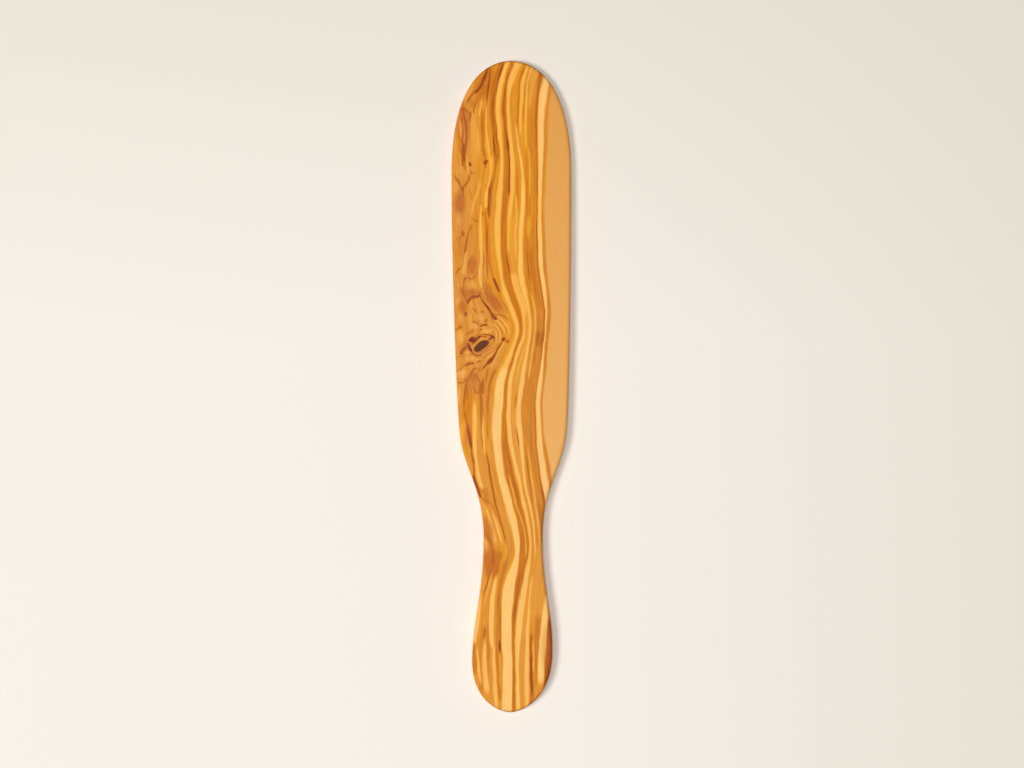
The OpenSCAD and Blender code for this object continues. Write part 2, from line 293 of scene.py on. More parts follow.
# Bands run along the growth. Each has its tone, from 0 for the darkest line to 1 for the
# palest wood, the softness of its edges, and marks of the place along the length and its
# left and right growth layers.
bands = [
    # the sapwood's neighbour stripes
    (0.42, 0.3, [(150, 14.6, 16), (140, 14.5, 15.6), (130, 13.9, 15.2), (100, 13.8, 15.3),
                 (84, 13.8, 15.2), (66, 14.1, 15.6), (50, 13.7, 15.3), (38, 13.0, 14.8),
                 (24, 13.0, 14.8), (10, 13.9, 15.5), (-10, 14.2, 15.3), (-28, 14.0, 15.3),
                 (-42, 14.4, 15.9), (-56, 14.8, 16)]),
    (0.95, 0.3, [(152, 12.2, 15), (141, 11.9, 14.6), (130, 11.6, 14.0), (115, 11.8, 13.9),
                 (100, 12.0, 13.8), (86, 12.1, 13.7), (70, 12.4, 14.1), (58, 12.0, 14.0),
                 (46, 11.9, 13.7), (36, 11.7, 12.9), (22, 12.0, 12.8), (12, 12.4, 13.6),
                 (2, 12.2, 14.3), (-12, 12.4, 14.2), (-24, 12.0, 14.1), (-36, 11.7, 13.9),
                 (-48, 11.6, 14.5), (-62, 11.8, 14)]),
    # amber zone between the two pale bands of the right half
    (0.42, 0.6, [(150, 7.8, 11.9), (130, 8.4, 11.6), (110, 6.8, 11.8), (90, 6.6, 12.0),
                 (70, 6.2, 12.2), (50, 6.1, 11.9), (36, 5.8, 11.7), (20, 6.0, 12.0), (4, 6.5, 12.2),
                 (-14, 6.8, 12.3), (-30, 6.4, 11.8), (-44, 5.6, 11.6), (-60, 5.4, 11), (-84, 3.6, 9),
                 (-100, 5.5, 10)]),
    (0.26, 0.25, [(150, 10.9, 12.6), (143, 10.8, 12.4), (138, 11.0, 12.0), (130, 10.8, 11.6),
                  (115, 11.1, 11.8), (100, 11.3, 12.0), (86, 11.4, 12.1), (70, 11.6, 12.4),
                  (58, 11.4, 12.0), (46, 11.2, 11.9), (36, 11.1, 11.7), (22, 11.2, 12.0),
                  (12, 11.8, 12.4), (2, 11.8, 12.2), (-24, 11.5, 12.0), (-40, 11.2, 11.7),
                  (-56, 10.4, 11.6)]),
    (0.62, 0.4, [(150, 8.6, 10.6), (140, 8.8, 10.2), (132, 8.8, 9.8), (126, 8.8, 9.4)]),
    (0.76, 0.3, [(150, 7.6, 8.4), (135, 7.5, 8.2), (118, 7.6, 8.2), (108, 7.6, 8.0)]),
    (0.30, 0.2, [(148, 7.0, 7.5), (130, 7.1, 7.5), (120, 7.2, 7.5)]),
    (0.76, 0.3, [(150, 5.9, 7.1), (135, 6.0, 7.0), (124, 6.0, 6.8), (114, 6.0, 6.6)]),
    (0.20, 0.2, [(150, 5.2, 5.8), (138, 5.3, 5.8), (128, 5.4, 5.7), (118, 5.3, 5.6)]),
    # honey middle at the tip with its pale tongue
    (0.48, 0.5, [(146, 2.5, 5.2), (130, 1.2, 5.3), (112, 1.2, 4.6), (96, 1.4, 4.4), (80, 0.6, 4.6)]),
    (0.80, 0.5, [(154, -1.9, 3.8), (146, -1.6, 3.0), (140, -1.4, 2.4), (134, -1.1, 1.3),
                 (124, -1.0, 0.9), (114, -0.5, 1.4), (104, -1.0, 1.4), (98, -1.4, 1.3),
                 (90, -0.7, 1.1), (82, -1.2, 0.5), (72, -1.4, -0.2), (60, -1.2, -0.4)]),
    (0.90, 0.4, [(122, 4.8, 5.2), (110, 4.6, 5.4), (98, 4.9, 6.0), (90, 4.5, 6.3), (76, 4.1, 6.0),
                 (60, 3.9, 6.0), (50, 3.4, 6.0), (40, 4.2, 5.6), (28, 4.4, 5.5), (14, 4.6, 5.9),
                 (4, 4.9, 6.4), (-8, 4.7, 6.6), (-18, 4.4, 6.6), (-30, 4.6, 6.1), (-42, 3.5, 5.2),
                 (-56, 3.2, 4.8), (-70, 2.8, 3.9), (-82, 2.2, 3.0)]),
    (0.33, 0.3, [(104, 2.5, 3.1), (92, 2.4, 3.0), (82, 2.6, 3.2)]),
    (0.76, 0.3, [(90, 1.9, 2.5), (78, 2.0, 2.8), (66, 1.9, 2.9), (56, 2.2, 3.0)]),
    (0.68, 0.3, [(112, 8.2, 8.7), (98, 8.2, 8.9), (86, 8.2, 8.7)]),
    (0.33, 0.3, [(108, 6.9, 7.4), (90, 7.0, 7.5), (76, 7.0, 7.6)]),
    (0.56, 0.4, [(80, 7.9, 9.0), (72, 7.6, 9.2), (66, 7.7, 8.6)]),
    (0.26, 0.2, [(72, 7.5, 8.0), (60, 7.6, 8.1), (46, 7.4, 7.9)]),
    (0.34, 0.4, [(66, 8.6, 10.2), (50, 8.6, 10), (34, 8.9, 10.6)]),
    (0.72, 0.3, [(44, 7.2, 7.7), (32, 7.0, 7.8), (20, 7.1, 7.8), (10, 7.5, 8.3), (2, 7.6, 8.2)]),
    (0.30, 0.4, [(27, 8.6, 11.6), (22, 8.4, 11.8), (17, 8.8, 12)]),
    # honey field of the middle, Y 75 to 0
    (0.58, 0.5, [(80, -0.4, 2.0), (62, -0.6, 2.2), (52, -0.8, 3.4)]),
    (0.78, 0.6, [(54, -1.4, 2.0), (46, -1.7, 3.0), (36, -1.5, 4.0), (26, -1.4, 1.4), (18, -2.4, 1.0)]),
    (0.86, 0.4, [(24, -1.6, -0.4), (16, -3.0, -0.8), (6, -2.6, -0.2), (-4, -1.9, 0.4),
                 (-14, -1.7, 0.5), (-26, -1.5, 0.6), (-38, -1.2, 0.9), (-50, -1.3, 0.4),
                 (-62, -1.2, 0.2), (-78, -1.0, 0.4), (-88, -1.4, 1.0)]),
    (0.56, 0.4, [(36, 1.4, 4.0), (24, 1.0, 3.8), (10, 0.4, 3.8), (-4, 1.0, 4.4), (-20, 1.2, 4.0),
                 (-36, 1.6, 3.8), (-48, 0.8, 2.8)]),
    (0.72, 0.3, [(20, 1.6, 2.4), (8, 1.8, 2.8), (0, 1.9, 2.5)]),
    (0.38, 0.3, [(-2, 2.8, 4.6), (-7, 2.6, 4.8), (-11, 3.0, 4.4)]),
    (0.16, 0.25, [(-18, 3.9, 4.5), (-23, 3.8, 4.5), (-29, 3.9, 4.4)]),
    # left of the middle: the brown stripe and the pale band beside it
    (0.34, 0.5, [(152, -4.2, -1.8), (140, -4.0, -1.6), (128, -3.8, -1.2), (116, -4.0, -1.0),
                 (104, -4.6, -1.6), (92, -4.6, -1.4), (80, -4.4, -1.6), (68, -4.6, -1.6),
                 (54, -4.8, -1.4), (42, -4.9, -1.8), (30, -4.7, -1.8), (18, -4.8, -2.6),
                 (6, -4.6, -2.8), (-10, -4.3, -2.0), (-26, -5.0, -1.8), (-40, -5.2, -1.8),
                 (-56, -5.0, -1.6), (-72, -5.0, -1.2), (-90, -5.0, -1.6), (-106, -4.2, -2.2),
                 (-126, -3.8, -2), (-150, -4.2, -2)]),
    (0.22, 0.3, [(146, -3.3, -2.4), (132, -3.2, -2.3), (118, -3.1, -2.2), (106, -2.6, -1.9)]),
    (0.10, 0.2, [(118, -1.7, -1.2), (110, -1.7, -1.0), (104, -1.9, -1.3), (96, -2.1, -1.5),
                 (89, -1.6, -0.9), (86, -1.3, -0.9)]),
    (0.50, 0.4, [(150, -5.1, -4.2), (130, -5.1, -3.8), (116, -5.0, -4.0)]),
    (0.82, 0.5, [(154, -7.6, -5.6), (144, -7.7, -5.3), (130, -7.6, -5.1), (118, -7.4, -5.0),
                 (108, -6.6, -5.0), (98, -6.6, -4.8), (88, -7.0, -4.6), (76, -7.4, -4.6),
                 (66, -7.2, -4.6), (56, -6.8, -5.2), (48, -6.8, -5.7), (40, -7.6, -5.2),
                 (30, -7.4, -4.8), (22, -6.9, -5.0), (10, -7.3, -4.8), (0, -7.6, -4.3)]),
    (0.97, 0.4, [(10, -7.0, -5.0), (0, -7.4, -4.4), (-14, -7.6, -4.2), (-26, -7.8, -4.9),
                 (-40, -7.8, -5.5), (-54, -8.2, -5.2), (-68, -7.6, -5.3), (-80, -7.4, -5.3),
                 (-88, -8.8, -5.0), (-100, -9.2, -4.6), (-112, -9.2, -4.0), (-124, -9.0, -4.0),
                 (-138, -9.4, -4.0), (-152, -9.6, -4.4)]),
    (0.18, 0.2, [(62, -2.2, -1.8), (56, -2.2, -1.6), (50, -2.2, -1.8)]),
    # the brown outer stripes of the left middle, tip part
    (0.30, 0.4, [(152, -10.8, -7.7), (140, -10.6, -7.9), (128, -10.4, -7.7), (118, -10.2, -7.3),
                 (108, -10.4, -6.8), (98, -9.8, -8.4), (90, -10.2, -9.0), (76, -10.4, -9.4)]),
    (0.10, 0.25, [(150, -8.7, -8.1), (142, -8.6, -8.0), (134, -8.3, -7.9)]),
    (0.14, 0.2, [(140, -9.5, -9.0), (130, -9.3, -8.8), (118, -8.8, -8.4)]),
    (0.10, 0.25, [(119, -8.2, -7.6), (115, -8.3, -7.6), (110, -7.8, -7.3)]),
    (0.06, 0.25, [(117, -9.9, -9.4), (110, -10.3, -9.5), (105, -10.1, -9.6)]),
    (0.52, 0.4, [(106, -8.6, -6.6), (96, -8.8, -7.2), (84, -9.2, -7.6), (70, -9.6, -7.4),
                 (56, -8.8, -7.2)]),
    (0.35, 0.2, [(102, -7.4, -7.0), (94, -7.4, -7.0), (86, -7.5, -7.1)]),
    (0.14, 0.2, [(98, -10.6, -10.2), (90, -10.5, -10), (82, -10.7, -10.1), (76, -10.6, -10.2)]),
    (0.36, 0.3, [(78, -11.6, -9.8), (66, -11.6, -10), (54, -11.6, -9.8)]),
    (0.20, 0.2, [(76, -11.3, -10.9), (64, -11.2, -10.8), (58, -11.1, -10.8)]),
    # shoulder and neck, left of the pale band
    (0.50, 0.5, [(4, -11.0, -7.8), (-20, -11.0, -8.0), (-44, -11, -8.0), (-72, -10.8, -7.8)]),
    (0.28, 0.3, [(10, -9.3, -8.5), (-2, -9.4, -8.8), (-14, -9.5, -9.0), (-26, -9.6, -9.1)]),
    (0.22, 0.2, [(4, -11.5, -11), (-12, -11.4, -11), (-22, -11.4, -11), (-30, -11.6, -11.1)]),
    (0.18, 0.25, [(-28, -10.6, -10.2), (-38, -10.5, -10), (-50, -10.8, -10.3), (-60, -10.9, -10.4),
                  (-74, -10.8, -10.4)]),
    (0.78, 0.3, [(-12, -10.8, -10.3), (-22, -10.9, -10.3), (-33, -11.2, -10.7)]),
    (0.84, 0.4, [(-5, -15.2, -14.4), (-14, -16.4, -13.4), (-24, -17.0, -14.8), (-34, -18.6, -16.4),
                 (-44, -19.6, -17.2), (-52, -20, -17)]),
    (0.52, 0.5, [(-12, -13.4, -11.5), (-28, -14.6, -11.6), (-40, -17, -11.6), (-50, -17, -11.6)]),
    (0.40, 0.4, [(-46, -22, -13), (-49, -20, -13.4), (-52, -18, -14)]),
    (0.36, 0.4, [(-50, -23, -16), (-53, -21, -14), (-55, -17, -14)]),
    (0.76, 0.4, [(-54, -21.5, -19), (-60, -20.4, -17.6), (-66, -19, -16.6), (-74, -18.2, -16.2)]),
    (0.78, 0.4, [(-56, -14.6, -13), (-64, -14.6, -12), (-74, -13.4, -11.8)]),
    (0.40, 0.4, [(-52, -12.6, -11.2), (-62, -12.0, -11.2)]),
    (0.38, 0.5, [(-58, -25, -21), (-66, -25, -21), (-74, -22.6, -18.6), (-80, -21.0, -18)]),
    (0.66, 0.5, [(-68, -27, -24), (-73, -26, -22.6), (-80, -26.5, -23)]),
    # middle lines of the neck
    (0.70, 0.25, [(-26, 8.0, 8.5), (-36, 7.8, 8.3), (-46, 7.2, 8.0), (-56, 6.6, 7.5), (-66, 6.0, 7.0),
                  (-76, 6, 6.6)]),
    (0.30, 0.25, [(-30, 7.0, 7.5), (-42, 6.3, 6.8), (-56, 5.6, 6.1)]),
    (0.30, 0.2, [(-30, -2.9, -2.5), (-42, -2.9, -2.5), (-55, -3.0, -2.6)]),
    (0.66, 0.3, [(-40, -4.2, -3.6), (-54, -4.1, -3.5), (-68, -2.8, -2.2), (-80, -2.9, -2.3)]),
    (0.48, 0.5, [(-56, 0.5, 2.6), (-70, 0.8, 2.4), (-84, 0.9, 3.6)]),
    (0.34, 0.3, [(-52, 8.4, 11.2), (-62, 7.6, 10), (-74, 6.8, 9), (-86, 7, 12)]),
    # handle
    (0.55, 0.6, [(-70, 3.8, 9), (-84, 3.6, 10.5), (-100, 5.4, 12.6), (-108, 6.4, 12)]),
    (0.90, 0.6, [(-80, -0.8, 1.0), (-92, -1.3, 1.8), (-102, -1.6, 2.4), (-112, -2.0, 2.2),
                 (-124, -1.8, 0.8), (-138, -1.6, 0.8), (-152, -1.6, 0.4)]),
    (0.20, 0.25, [(-84, -3.6, -3.2), (-92, -3.6, -3.1), (-99, -3.5, -3.0), (-108, -3.2, -2.6),
                  (-116, -2.9, -2.4)]),
    (0.33, 0.4, [(-106, -3.8, -2.2), (-122, -3.9, -2.2), (-136, -4.0, -2.2), (-152, -4.2, -2.0)]),
    (0.52, 0.5, [(-96, 2.0, 3.8), (-110, 2.2, 4.4), (-124, 1.2, 4.0), (-140, 1.0, 3.4),
                 (-150, 0.6, 3)]),
    (0.86, 0.4, [(-86, 3.4, 4.4), (-96, 4.2, 5.2), (-106, 4.8, 6.0), (-118, 4.8, 6.6),
                 (-130, 4.4, 6.6), (-140, 4.2, 6.2), (-150, 4.4, 6.0)]),
    (0.30, 0.4, [(-112, 6.8, 8.6), (-124, 7.0, 8.6), (-136, 6.8, 8.4), (-150, 6.4, 8.0)]),
    (0.12, 0.25, [(-122, 7.5, 8.0), (-134, 7.3, 7.9), (-144, 7.0, 7.8)]),
    (0.74, 0.25, [(-116, 8.4, 8.9), (-124, 8.5, 9.1), (-132, 8.4, 9.0)]),
    (0.40, 0.4, [(-104, 8.8, 11.6), (-116, 9.2, 11.4), (-130, 9.2, 10.8), (-140, 8.4, 10)]),
    (0.97, 0.35, [(-94, 12.8, 13.4), (-102, 12.4, 14.4), (-110, 12.0, 14.8), (-120, 11.4, 14.4),
                  (-130, 10.8, 13.6), (-138, 10.6, 13)]),
    (0.17, 0.5, [(-104, 15.6, 18), (-112, 15.0, 19), (-122, 14.8, 19), (-132, 14.0, 18),
                 (-140, 13, 16)]),
    (0.24, 0.25, [(-82, -11.0, -10.5), (-92, -11.0, -10.4), (-104, -11.2, -10.6),
                  (-114, -11.0, -10.4)]),
    (0.36, 0.4, [(-78, -11.4, -8.8), (-88, -11.2, -9.6), (-104, -11.4, -9.6), (-118, -12, -9.4),
                 (-130, -12, -10), (-146, -12, -10)]),
    (0.10, 0.3, [(-116, -10.6, -9.9), (-119, -10.7, -9.8), (-123, -10.5, -9.9)]),
    (0.74, 0.2, [(-120, -10.4, -10), (-130, -10.6, -10.2), (-140, -10.8, -10.4)]),
    (0.34, 0.5, [(-74, -25, -12), (-80, -24, -12), (-86, -22, -12.4), (-90, -21, -14)]),
    (0.12, 0.35, [(-74, -19.2, -18.2), (-79, -18.9, -17.9), (-83, -18.4, -17.6)]),
    (0.18, 0.25, [(-82, -18.0, -17.2), (-86, -19.2, -18.4), (-92, -21.0, -20.2), (-98, -22.6, -21.8)]),
    (0.66, 0.5, [(-84, -18.4, -16.6), (-94, -19.6, -17.8), (-102, -20.6, -19.6)]),
    (0.48, 0.5, [(-88, -17.2, -15.2), (-98, -18.4, -15.8), (-108, -20, -17.6)]),
    (0.88, 0.5, [(-86, -14.2, -12.6), (-94, -15.2, -12.2), (-104, -16.4, -13.2), (-114, -16, -13.4),
                 (-122, -14.4, -12.8)]),
    (0.84, 0.5, [(-94, -26, -23.4), (-104, -26.4, -22.8), (-114, -26, -23.6), (-120, -25.6, -24)]),
    (0.42, 0.4, [(-108, -21.6, -18), (-113, -20.6, -16.6), (-120, -18.6, -15.4), (-132, -16.6, -15),
                 (-146, -16, -15)]),
    (0.26, 0.25, [(-110, -19.8, -18.8), (-113, -19.8, -18.6), (-117, -20.6, -20)]),
    (0.42, 0.4, [(-112, -21.6, -19.8), (-120, -22.8, -20.4), (-132, -23.0, -20.6),
                 (-142, -22.6, -20.6)]),
    (0.84, 0.4, [(-115, -19.2, -18.2), (-122, -19.6, -17.6), (-132, -20, -17.4), (-142, -20.4, -17)]),
    (0.80, 0.3, [(-118, -23.8, -22.8), (-128, -23.4, -21.8), (-138, -22.6, -21)]),
    (0.36, 0.4, [(-116, -26, -24.2), (-126, -26, -23.4), (-134, -25.4, -23.6)]),
    (0.82, 0.4, [(-118, -13.8, -12.6), (-130, -14.4, -12.4), (-142, -14.6, -12.6),
                 (-150, -14.4, -12.6)]),
    (0.50, 0.3, [(-122, -15.8, -14.6), (-134, -16.2, -14.8), (-148, -16, -15)]),
]

# Streaks cross the growth or curl round the knots. Each has its tone, its width and marks of
# its places across and along.
streaks = [
    # brown end zone at the tip's left
    (0.10, 1.2, [(-10.6, 147), (-12.2, 143), (-13.4, 140), (-14.6, 137.5), (-16.2, 136),
                 (-17.6, 135.4)]),
    (0.22, 0.9, [(-17, 135.6), (-18.6, 134), (-19.6, 132.6), (-20.4, 131)]),
    (0.24, 0.7, [(-15.6, 134), (-16.6, 130), (-17.4, 127), (-16.9, 125.4)]),
    (0.16, 0.7, [(-9.2, 148), (-10.2, 142), (-10.9, 136), (-11.2, 130)]),
    (0.15, 0.7, [(-23, 127), (-22.2, 128), (-21, 127.3), (-20, 126.2), (-19, 126.2), (-18.8, 124.4),
                 (-19.3, 122.8), (-19, 121.6)]),
    (0.14, 0.8, [(-22, 128), (-21.8, 125), (-21.3, 122), (-21, 118), (-20.8, 113), (-21.4, 108),
                 (-22, 103)]),
    (0.18, 0.6, [(-22.6, 127), (-23.1, 124), (-22.6, 121), (-22.4, 117), (-22.8, 113), (-22, 108)]),
    (0.60, 0.5, [(-22, 122), (-21.8, 116), (-22, 110)]),
    (0.30, 0.5, [(-24, 122), (-24.5, 118), (-24.2, 114)]),
    (0.34, 0.8, [(-24, 111), (-23.2, 107)]),
    (0.14, 2.0, [(-21.9, 112), (-22, 108), (-21.8, 105), (-22, 101)]),
    (0.32, 1.2, [(-14, 131), (-13.6, 124), (-13.4, 116), (-12.9, 109), (-12.0, 104.5)]),
    (0.74, 0.9, [(-13.7, 132), (-14.3, 128), (-14.9, 124.5)]),
    (0.76, 1.0, [(-11.6, 128), (-11.8, 122), (-11.5, 115), (-10.7, 109), (-9.8, 103), (-9.2, 99)]),
    (0.34, 0.8, [(-12.6, 128), (-12.6, 120), (-12.3, 112)]),
    (0.30, 1.0, [(-21.8, 104), (-21.4, 99)]),
    (0.70, 0.7, [(-20.7, 107), (-20.3, 102), (-19.6, 98)]),
    (0.24, 0.6, [(-19.4, 100.6), (-18.8, 98.4), (-17.8, 97.6), (-17, 98.4)]),
    (0.26, 0.8, [(-26.8, 97), (-25.4, 96), (-24, 93.2), (-23, 91.6), (-22.4, 90), (-22.2, 86.6)]),
    (0.22, 1.0, [(-19.4, 97.4), (-19.8, 94.8), (-21, 93), (-22, 91.8)]),
    (0.34, 0.5, [(-19.5, 90.6), (-18.6, 88), (-17.7, 85.4)]),
    (0.68, 1.0, [(-14.8, 93), (-15.8, 88.6), (-17.2, 84.6), (-18.2, 79)]),
    (0.18, 0.5, [(-9, 101), (-9.8, 97), (-10.6, 93.4), (-11.1, 89.6)]),
    (0.80, 1.0, [(-8.8, 106), (-9.2, 101), (-9.9, 96), (-10.7, 92), (-11.2, 87.6), (-11.5, 82)]),
    (0.82, 1.2, [(-11.7, 90), (-11.9, 86), (-11.9, 82)]),
    (0.20, 0.6, [(-10.2, 92), (-10.5, 87), (-10.8, 82), (-10.6, 77)]),
    (0.30, 0.6, [(-18.2, 77.4), (-16.6, 76.2), (-15.4, 77)]),
    (0.82, 1.3, [(-14.2, 83), (-14.2, 76), (-14.2, 70), (-14, 63), (-13.8, 59)]),
    (0.34, 0.7, [(-11.8, 81), (-11.9, 72), (-11.5, 63)]),
    (0.22, 0.7, [(-18.8, 74), (-19.5, 71), (-20.6, 67.6), (-21.2, 64), (-21.8, 60), (-22.8, 55)]),
    (0.34, 0.7, [(-17.6, 75), (-19, 71.4), (-20.2, 68)]),
    (0.30, 0.7, [(-25, 67.4), (-23.4, 68.8), (-22.2, 70)]),
    # between the two knots
    (0.34, 0.6, [(-10, 57), (-9, 51.6), (-7.8, 48.6), (-6.2, 44.6), (-4.9, 41), (-3.3, 37.2),
                 (-2, 33.6)]),
    (0.10, 1.2, [(-8.4, 50), (-7.4, 47.6), (-6.4, 45), (-5.6, 43)]),
    (0.30, 0.7, [(-8.8, 41.4), (-7.2, 39.6), (-5.4, 37.4), (-4.2, 36)]),
    (0.12, 1.3, [(-20.2, 38), (-19.4, 39.4), (-18.4, 40.6), (-17, 41), (-15.6, 41.3), (-14.6, 41.8)]),
    (0.16, 0.8, [(-14.9, 41.4), (-14.4, 43.6)]),
    (0.08, 0.9, [(-14.8, 41.6), (-13.6, 39.8), (-12.4, 37.9), (-10.6, 35.4), (-9, 33), (-7.8, 31.4),
                 (-6.6, 30.4)]),
    (0.10, 1.6, [(-9.2, 33.4), (-8.2, 32.2), (-7.2, 30.8)]),
    (0.24, 0.6, [(-21.8, 43), (-22.1, 46), (-22, 48.6), (-21.3, 49.7), (-19.7, 50.4), (-18.6, 49.6),
                 (-17.4, 50.2), (-16.1, 51.2), (-16.1, 53)]),
    (0.26, 0.7, [(-20.3, 50.6), (-20, 54), (-19.3, 56.8), (-18.2, 59.2), (-17.3, 59.6)]),
    (0.70, 1.3, [(-21.1, 61.6), (-21.6, 57.4), (-21.9, 54), (-22, 51.6)]),
    (0.28, 0.8, [(-25.6, 52), (-24.6, 53.6), (-23, 55)]),
    (0.80, 1.5, [(-14, 62), (-14, 57), (-14.6, 53), (-14.4, 49), (-14, 46)]),
    (0.30, 0.6, [(-12.9, 61), (-13, 57), (-13.2, 54)]),
    (0.34, 0.7, [(-11.2, 58), (-11.1, 53), (-11, 49)]),
    (0.66, 0.7, [(-13.8, 46.6), (-13, 43.4), (-11.6, 40.6)]),
    (0.28, 1.2, [(-23.4, 46), (-22.2, 42.6), (-20.8, 40.2), (-20.2, 38)]),
    (0.26, 0.7, [(-18.1, 36), (-17, 34.3), (-16.2, 34.4)]),
    (0.26, 0.7, [(-14.4, 34.2), (-13.6, 34.6), (-13, 34)]),
    # the knot: rings, tails and the flow round it
    (0.30, 0.8, [(-18.4, 29.6), (-16.8, 29.2), (-15.2, 28)]),
    (0.12, 0.9, [(-14.4, 28), (-12.8, 28.5), (-11.2, 28)]),
    (0.24, 0.8, [(-12.6, 29.6), (-11.4, 30.4)]),
    (0.20, 0.8, [(-14.4, 26.8), (-13.6, 26.2)]),
    (0.30, 1.4, [(-25.6, 26), (-23.8, 26.6), (-22.2, 27.8)]),
    (0.30, 1.4, [(-20.8, 24), (-19.4, 24.8), (-17.6, 25)]),
    (0.34, 0.5, [(-18.8, 22.6), (-17, 22.6), (-15.6, 23.4), (-14, 25)]),
    (0.04, 0.5, [(-19.4, 21.8), (-18, 22.3), (-16.6, 22.0), (-15, 22.8), (-13.4, 23.9), (-11.4, 23.9),
                 (-9.6, 23.4), (-8.4, 22.8), (-8, 21.6), (-8.1, 20)]),
    (0.04, 2.0, [(-19.6, 20.6), (-18.6, 21.2), (-17.2, 21), (-16, 21.2)]),
    (0.08, 1.4, [(-20.2, 20), (-19.6, 18.4), (-19, 17), (-18.2, 15.8)]),
    (0.12, 1.2, [(-20.2, 19), (-21.2, 17.8), (-22.3, 17), (-22.8, 15.6), (-23, 14.4)]),
    (0.06, 0.5, [(-18.4, 16), (-17.6, 14.8), (-16, 14.6), (-14.8, 14.3), (-13.6, 14.8)]),
    (0.52, 0.6, [(-18.6, 17.6), (-17.4, 19.2), (-15.6, 20.8), (-14, 21.9), (-12, 22.1), (-10.2, 21.7),
                 (-9.3, 20.8), (-9.8, 19.2)]),
    (0.06, 0.5, [(-18.4, 19), (-16.8, 20.6), (-15, 22.2), (-13.4, 22.9), (-11, 22.8)]),
    (0.10, 1.0, [(-10.6, 21.4), (-9, 22.4), (-8.2, 22.2)]),
    (0.20, 0.35, [(-14.4, 15.4), (-12.6, 15.9), (-11, 17.2), (-9.6, 18.6), (-8.8, 20)]),
    (0.22, 0.35, [(-14, 14.4), (-12.4, 14.9), (-10.8, 16), (-9.2, 17.2), (-7.6, 18.2), (-6.6, 19.2)]),
    (0.24, 0.35, [(-13.4, 12.6), (-12, 13.6), (-10.4, 14.8), (-8.8, 16), (-7.2, 17.2), (-6, 18.8)]),
    (0.74, 0.35, [(-13.8, 15), (-12.4, 15.4), (-10.8, 16.6), (-9.4, 17.8), (-8, 19)]),
    (0.74, 0.4, [(-13.6, 13.6), (-12, 14.4), (-10.4, 15.5), (-8.8, 16.6), (-7, 18.2)]),
    (0.70, 0.5, [(-11.6, 12.2), (-9.8, 13.6), (-8.2, 15.2), (-7, 16.6)]),
    (0.10, 1.0, [(-4.4, 20.4), (-5.2, 18.6), (-6.2, 16.8), (-7.2, 15.2), (-8.2, 13.6), (-9.6, 11.8),
                 (-11, 10.4), (-12.4, 9.2), (-13.2, 8.2)]),
    (0.10, 1.5, [(-8.6, 13), (-9.8, 11.6), (-11.2, 10.2)]),
    (0.76, 0.5, [(-2.6, 22.6), (-3.6, 20.4), (-5.2, 17.4), (-6.8, 14.4), (-8.6, 11), (-9.8, 8.4)]),
    (0.08, 1.4, [(-4.2, 20.8), (-3.6, 22), (-3.2, 23)]),
    (0.76, 0.5, [(-9.6, 29.2), (-7.8, 28), (-6.2, 26.2), (-5.2, 24), (-4.9, 21.4), (-5.6, 19.8)]),
    (0.34, 0.4, [(-9, 27.6), (-7.4, 26.4), (-6.4, 24.6), (-6, 22.4)]),
    (0.74, 0.5, [(-8.4, 26.8), (-7.2, 25), (-6.9, 22.6), (-7.2, 20)]),
    (0.78, 0.7, [(-7.6, 30.6), (-5.8, 29.2), (-4, 27.2), (-3, 25)]),
    (0.36, 0.5, [(-7.4, 29.4), (-5.6, 27.6), (-4.4, 25.6), (-4, 23.4)]),
    (0.40, 0.5, [(-6, 31.6), (-3.8, 29), (-2.6, 26), (-2.4, 23.6)]),
    (0.78, 0.6, [(-6.6, 32.8), (-4.6, 30.8), (-2.6, 28.6), (-1.4, 26), (-1.1, 23.4)]),
    (0.30, 0.7, [(-8.4, 32.2), (-5.8, 33), (-3.4, 32.2), (-1.4, 30)]),
    # below the knot
    (0.36, 0.5, [(-25.4, 13.2), (-23.6, 13.7), (-21.6, 13.6)]),
    (0.20, 1.0, [(-21.4, 9.9), (-20, 10.5), (-18.4, 10.4), (-17, 9.8)]),
    (0.36, 0.7, [(-25, 7), (-23.2, 8), (-21.4, 9.6)]),
    (0.24, 0.8, [(-20.8, 2.6), (-19.4, 4.4), (-18.4, 6.2), (-17, 7.8), (-16, 8.6)]),
    (0.30, 0.6, [(-16.4, 5.4), (-15.4, 3.4), (-14.8, 2)]),
    (0.30, 0.8, [(-11, 8.4), (-11.4, 5), (-12, 2)]),
    (0.30, 0.8, [(-24.6, 2), (-22.8, 2), (-21.2, 2.8), (-19.6, 4.2)]),
    (0.20, 0.8, [(-19.4, 3.6), (-20.6, 1.2), (-21.2, -2), (-21.5, -5.4), (-21.8, -9.4)]),
    (0.24, 0.5, [(-20, 0.6), (-20.4, -3), (-20.4, -7)]),
    (0.28, 0.6, [(-17.4, 1), (-16.8, -1.8), (-15.8, -3.2), (-14.8, -2), (-14.5, 1), (-14.8, 3.4)]),
    (0.30, 1.3, [(-13, 2.6), (-13, -0.6), (-13.2, -3.4)]),
    (0.28, 0.5, [(-13.5, -4), (-13.6, -10), (-13.6, -17)]),
    (0.28, 0.8, [(-21.8, -11), (-21, -15), (-20, -18.6)]),
    (0.14, 1.5, [(-20.2, -17.6), (-19.4, -21.6), (-18.9, -25.4), (-18.2, -29)]),
    (0.24, 1.1, [(-18.4, -28.4), (-17.9, -32), (-17, -37), (-16.8, -41), (-15.9, -45)]),
    (0.14, 1.2, [(-17.2, -40.6), (-16.2, -44.6), (-15, -48), (-13.8, -51.4)]),
    (0.78, 0.8, [(-16.4, -36), (-15.4, -41.6), (-14.2, -46)]),
    (0.42, 1.2, [(-12.2, -47), (-11.6, -49)]),
    (0.28, 0.9, [(-12, -67.6), (-10.6, -69.6), (-9.6, -72), (-8.6, -74.6)]),
]

